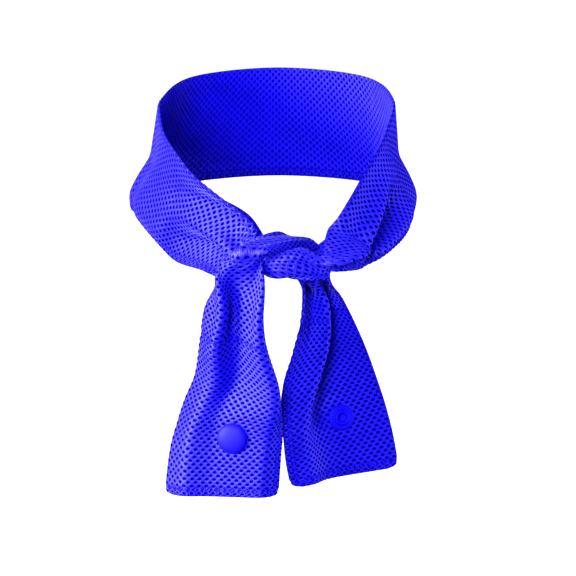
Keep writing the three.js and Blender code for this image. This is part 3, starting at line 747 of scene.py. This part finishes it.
def thread(name, starts, ends, side, material):
    """Stitches: short rounded lengths of thread that lie on one face of the cloth."""
    starts = np.array(starts, float)
    ends = np.array(ends, float)
    along = np.linspace(0, 1, THREAD_RINGS)
    middle = []
    for f in along:
        plan = starts * (1 - f) + ends * f
        rise = -THREAD_RADIUS * (THREAD_ARCH * math.sin(math.pi * f) - THREAD_DIVE)
        middle.append(place_on_face(*plan.T, np.full(len(plan), rise), side))
    middle = np.stack(middle, axis=1)
    _, normals, _ = STRIP.sample(starts[:, 0], shares_on_strip(starts[:, 0], starts[:, 1]))
    up = normals[:, None] * side
    heading = unit(np.gradient(middle, axis=1))
    sideways = unit(np.cross(heading, np.broadcast_to(up, heading.shape)))
    upward = np.cross(sideways, heading)
    thick = THREAD_RADIUS * np.sqrt(np.clip(1 - (2 * along - 1) ** 4, THREAD_TIP, 1))
    angles = np.linspace(0, 2 * np.pi, THREAD_SIDES, endpoint=False)
    circle = (
        np.cos(angles)[None, None, :, None] * sideways[:, :, None]
        + np.sin(angles)[None, None, :, None] * upward[:, :, None]
    )
    points = (middle[:, :, None] + circle * thick[None, :, None, None]).reshape(-1, 3)
    corners = THREAD_RINGS * THREAD_SIDES
    faces = []
    for start in range(0, len(points), corners):
        for ring in range(THREAD_RINGS - 1):
            for i in range(THREAD_SIDES):
                a = start + ring * THREAD_SIDES + i
                b = start + ring * THREAD_SIDES + (i + 1) % THREAD_SIDES
                faces.append([a, a + THREAD_SIDES, b + THREAD_SIDES, b])
        faces.append([start + i for i in range(THREAD_SIDES)])
        faces.append([start + corners - 1 - i for i in range(THREAD_SIDES)])
    uvs = np.repeat((starts + ends) / 2, corners, axis=0)
    return build_mesh(name, points, faces, uvs, [material], [0] * len(faces))


def stitch_lines(from_length, to_length):
    """Where the stitches of the cloth between two lengths start and end, on the flat strip."""
    starts, ends = [], []
    for seam in (LEFT_SEAM, RIGHT_SEAM):
        if from_length <= seam < to_length:
            for across in np.arange(*SEAM_STITCH_SPAN, STITCH_PITCH):
                starts.append((seam, across))
                ends.append((seam + SEAM_STITCH_SLANT, across + STITCH_PITCH * STITCH_SHARE))
    for hem, inward in ((0.0, 1), (STRIP_LENGTH, -1)):
        if from_length <= hem <= to_length:
            low = hem + inward * (HEM_STITCH_INSET - HEM_STITCH_SLANT)
            high = hem + inward * (HEM_STITCH_INSET + HEM_STITCH_SLANT)
            for across in np.arange(*HEM_STITCH_SPAN, STITCH_PITCH):
                starts.append((low, across))
                ends.append((high, across + STITCH_PITCH * HEM_STITCH_SHARE))
    first = max(from_length, HEM_STITCH_INSET)
    last = min(to_length, STRIP_LENGTH - HEM_STITCH_INSET)
    edge_seam = STRIP_WIDTH - EDGE_SEAM_INSET
    for length in np.arange(first, last - STITCH_PITCH, STITCH_PITCH):
        starts.append((length, edge_seam))
        ends.append((length + STITCH_PITCH * STITCH_SHARE, edge_seam))
    return starts, ends


def nodes_of(name):
    """A new material, its tree and its shader."""
    material = bpy.data.materials.new(name)
    material.use_nodes = True
    tree = material.node_tree
    return material, tree, tree.nodes["Principled BSDF"]


def noise_node(tree, place, scale, detail):
    """Soft noise at a place: its strength."""
    noise = tree.nodes.new("ShaderNodeTexNoise")
    noise.inputs["Scale"].default_value = scale
    noise.inputs["Detail"].default_value = detail
    tree.links.new(place, noise.inputs["Vector"])
    return noise.outputs["Fac"]


def add_relief(tree, shader, height, strength, depth):
    """Fine relief on a shader's surface."""
    relief = tree.nodes.new("ShaderNodeBump")
    relief.inputs["Strength"].default_value = strength
    relief.inputs["Distance"].default_value = depth
    tree.links.new(height, relief.inputs["Height"])
    tree.links.new(relief.outputs["Normal"], shader.inputs["Normal"])


def cloth_material(name, colour, shade, roughness, sheen, gloss, knit):
    """Knitted polyester: soft sheen, a fine knit in relief and small changes of colour."""
    material, tree, shader = nodes_of(name)
    shader.inputs["Roughness"].default_value = roughness
    shader.inputs["Sheen Weight"].default_value = sheen
    shader.inputs["Sheen Roughness"].default_value = SHEEN_ROUGHNESS
    shader.inputs["Sheen Tint"].default_value = SHEEN_TINT
    shader.inputs["Specular IOR Level"].default_value = gloss
    shader.inputs["Specular Tint"].default_value = CLOTH_GLOSS_TINT
    place = tree.nodes.new("ShaderNodeUVMap")
    place.uv_map = "cloth_map"
    patches = noise_node(tree, place.outputs["UV"], PATCH_SCALE, PATCH_DETAIL)
    mix = tree.nodes.new("ShaderNodeMix")
    mix.data_type = "RGBA"
    mix.inputs[6].default_value = (*shade, 1.0)
    mix.inputs[7].default_value = (*colour, 1.0)
    spread = tree.nodes.new("ShaderNodeMapRange")
    spread.inputs["From Min"].default_value, spread.inputs["From Max"].default_value = PATCH_RANGE
    tree.links.new(patches, spread.inputs["Value"])
    tree.links.new(spread.outputs["Result"], mix.inputs["Factor"])
    tree.links.new(mix.outputs[2], shader.inputs["Base Color"])
    loops = tree.nodes.new("ShaderNodeTexWave")
    loops.wave_type = "BANDS"
    loops.bands_direction = "DIAGONAL"
    loops.inputs["Scale"].default_value = KNIT_SCALE
    loops.inputs["Distortion"].default_value = KNIT_DISTORTION
    loops.inputs["Detail"].default_value = KNIT_DETAIL
    tree.links.new(place.outputs["UV"], loops.inputs["Vector"])
    fibres = noise_node(tree, place.outputs["UV"], FIBRE_SCALE, FIBRE_DETAIL)
    both = tree.nodes.new("ShaderNodeMath")
    both.operation = "ADD"
    tree.links.new(loops.outputs["Fac"], both.inputs[0])
    tree.links.new(fibres, both.inputs[1])
    add_relief(tree, shader, both.outputs[0], knit, KNIT_DEPTH)
    return material


def plastic_material(name, colour, smoothest, roughest):
    """Moulded plastic with a soft gloss that varies a little."""
    material, tree, shader = nodes_of(name)
    shader.inputs["Base Color"].default_value = (*colour, 1.0)
    shader.inputs["Specular IOR Level"].default_value = PLASTIC_GLOSS
    place = tree.nodes.new("ShaderNodeTexCoord")
    grain = noise_node(tree, place.outputs["Object"], PLASTIC_GRAIN_SCALE, PLASTIC_GRAIN_DETAIL)
    spread = tree.nodes.new("ShaderNodeMapRange")
    spread.inputs["To Min"].default_value = smoothest
    spread.inputs["To Max"].default_value = roughest
    tree.links.new(grain, spread.inputs["Value"])
    tree.links.new(spread.outputs["Result"], shader.inputs["Roughness"])
    add_relief(tree, shader, grain, PLASTIC_RELIEF, PLASTIC_GRAIN_DEPTH)
    return material


# Cloth: colour, colour of its patches, roughness, sheen, gloss and strength of the knit
CLOTH_LOOKS = (
    ("mesh_blue", (0.006, 0.0006, 0.76), (0.004, 0.0004, 0.64), 0.55, 0.2, 0.55, 0.5),
    # Darker blues on the walls and floors of the holes: painted shade in the recesses
    ("mesh_blue_holes_painted_shade", (0.001, 0.0003, 0.19), (0.001, 0.0002, 0.15), 0.95, 0.0, 0.0, 0.3),
    ("mesh_blue_inner_holes_painted_shade", (0.002, 0.0003, 0.38), (0.001, 0.0002, 0.32), 0.95, 0.0, 0.0, 0.3),
    ("thread_blue", (0.008, 0.001, 0.80), (0.006, 0.0008, 0.66), 0.5, 0.1, 0.4, 0.3),
    # Darker blue on sewn cells and on cells cut by the edge: painted shade along the sunk seams and
    # edges
    ("mesh_blue_seams_painted_shade", (0.003, 0.0004, 0.34), (0.002, 0.0003, 0.26), 0.8, 0.03, 0.1, 0.4),
)
web_blue, painted_shade_hole_blue, painted_shade_inner_hole_blue, thread_blue, painted_shade_seam_blue = (
    cloth_material(*look) for look in CLOTH_LOOKS
)
snap_blue = plastic_material("snap_blue", (0.004, 0.001, 0.56), 0.49, 0.63)

# The strip's parts: name, first and last length, how the cloth is held, and the solid it replaces
WRAP_START = length_of("left_top") - SPLIT_BELOW_KNOT
CORE_START = length_of("left_1") + CORE_LEAD
CLOTH_PARTS = (
    ("left_end", 0.0, LEFT_SEAM, "hung", ("left_end",)),
    ("left_tail", LEFT_SEAM, WRAP_START, "hung", ("left_tail",)),
    ("wrap", WRAP_START, length_of("right_1"), "folded", ("knot_wrap",)),
    ("neck_right", length_of("right_1"), length_of("nape"), "draped", ("neck_band",)),
    ("neck_left", length_of("nape"), CORE_START, "draped", ("neck_band",)),
    ("core", CORE_START, length_of("right_top"), "folded", ("knot_core",)),
    ("right_tail", length_of("right_top"), RIGHT_SEAM, "hung", ("right_tail",)),
    ("right_end", RIGHT_SEAM, STRIP_LENGTH, "hung", ("right_end",)),
)

# Each face gets a darker blue of painted shade for its holes, and one for its sewn and edge cells
for part, start, end, held, cad_nodes in CLOTH_PARTS:
    for layer, side, holes in (("outer", 1, painted_shade_hole_blue), ("inner", -1, painted_shade_inner_hole_blue)):
        cloth = eyelet_face(f"{part}_{layer}", start, end, side, [web_blue, holes, painted_shade_seam_blue])
        stitches = thread(f"{part}_{layer}_stitches", *stitch_lines(start, end), side, thread_blue)
        for piece in (cloth, stitches):
            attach(piece, "root")
            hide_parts(*cad_nodes)

left_seat, right_seat = STRIP.seats
back_disc = disc_profile(BACK_DISC_DIAMETER / 2, BACK_DISC_HEIGHT)
front_ring = disc_profile(RING_DIAMETER / 2, RING_HEIGHT)
SNAPS = (
    ("left_cap", cap_profile(), left_seat, 1, "snap_cap_left"),
    ("left_socket", back_disc, left_seat, -1, "snap_disc_left"),
    ("right_socket", front_ring, right_seat, 1, "snap_disc_right"),
    ("right_cap", cap_profile(), right_seat, -1, "snap_cap_right"),
)
for name, profile, seat, face_sign, cad_node in SNAPS:
    snap = lathe(name, profile, seat, face_sign, snap_blue)
    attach(snap, "root")
    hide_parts(cad_node)


def stage_surface(piece, name, glow):
    """A plain pale part of the studio that the camera sees and that doesn't light the cloth."""
    piece.name = name
    material, _, shader = nodes_of(name)
    shader.inputs["Base Color"].default_value = (STUDIO_WHITE, STUDIO_WHITE, STUDIO_WHITE, 1.0)
    shader.inputs["Roughness"].default_value = STUDIO_ROUGHNESS
    shader.inputs["Emission Color"].default_value = (1.0, 1.0, 1.0, 1.0)
    shader.inputs["Emission Strength"].default_value = glow
    piece.data.materials.append(material)
    piece.visible_diffuse = False
    piece.visible_glossy = False


bpy.ops.mesh.primitive_plane_add(size=FLOOR_SIZE, location=(0.0, 0.0, FLOOR_LEVEL))
stage_surface(bpy.context.active_object, "floor", FLOOR_GLOW)
bpy.ops.mesh.primitive_uv_sphere_add(segments=48, ring_count=24, radius=BACKDROP_RADIUS)
stage_surface(bpy.context.active_object, "backdrop", BACKDROP_GLOW)


def area_light(name, place, size, power, colour):
    """A square soft light aimed at the knot."""
    light = bpy.data.lights.new(name, "AREA")
    light.energy = power
    light.size = size
    light.color = colour
    lamp = bpy.data.objects.new(name, light)
    lamp.location = place
    aim = Vector(LIGHT_TARGET) - Vector(place)
    lamp.rotation_euler = aim.to_track_quat("-Z", "Y").to_euler()
    bpy.context.scene.collection.objects.link(lamp)


# Lamps: place and size in metres, power in watts and colour
area_light("key", (-1.45, -0.75, 0.4), 0.6, 115.0, (1.0, 1.0, 1.0))
area_light("front", (-0.5, -1.85, 0.7), 0.7, 76.0, (0.45, 0.4, 1.0))
area_light("side", (1.6, 0.3, -0.1), 0.8, 44.0, (0.25, 0.2, 1.0))
area_light("top", (0.1, -0.1, 1.6), 0.9, 6.0, (0.15, 0.1, 1.0))

world = bpy.data.worlds.new("studio")
world.use_nodes = True
world.node_tree.nodes["Background"].inputs["Color"].default_value = WORLD_COLOUR
world.node_tree.nodes["Background"].inputs["Strength"].default_value = WORLD_STRENGTH
bpy.context.scene.world = world

bpy.context.scene.view_settings.view_transform = "Standard"

camera_data = bpy.data.cameras.new("camera")
camera_data.lens = CAMERA_LENS
camera_data.sensor_width = CAMERA_SENSOR
camera = bpy.data.objects.new("camera", camera_data)
away = Vector((0.0, -math.cos(CAMERA_ELEVATION), math.sin(CAMERA_ELEVATION)))
camera.location = CAMERA_TARGET + away * CAMERA_DISTANCE
camera.rotation_euler = (math.pi / 2 - CAMERA_ELEVATION, 0.0, 0.0)
bpy.context.scene.collection.objects.link(camera)
bpy.context.scene.camera = camera
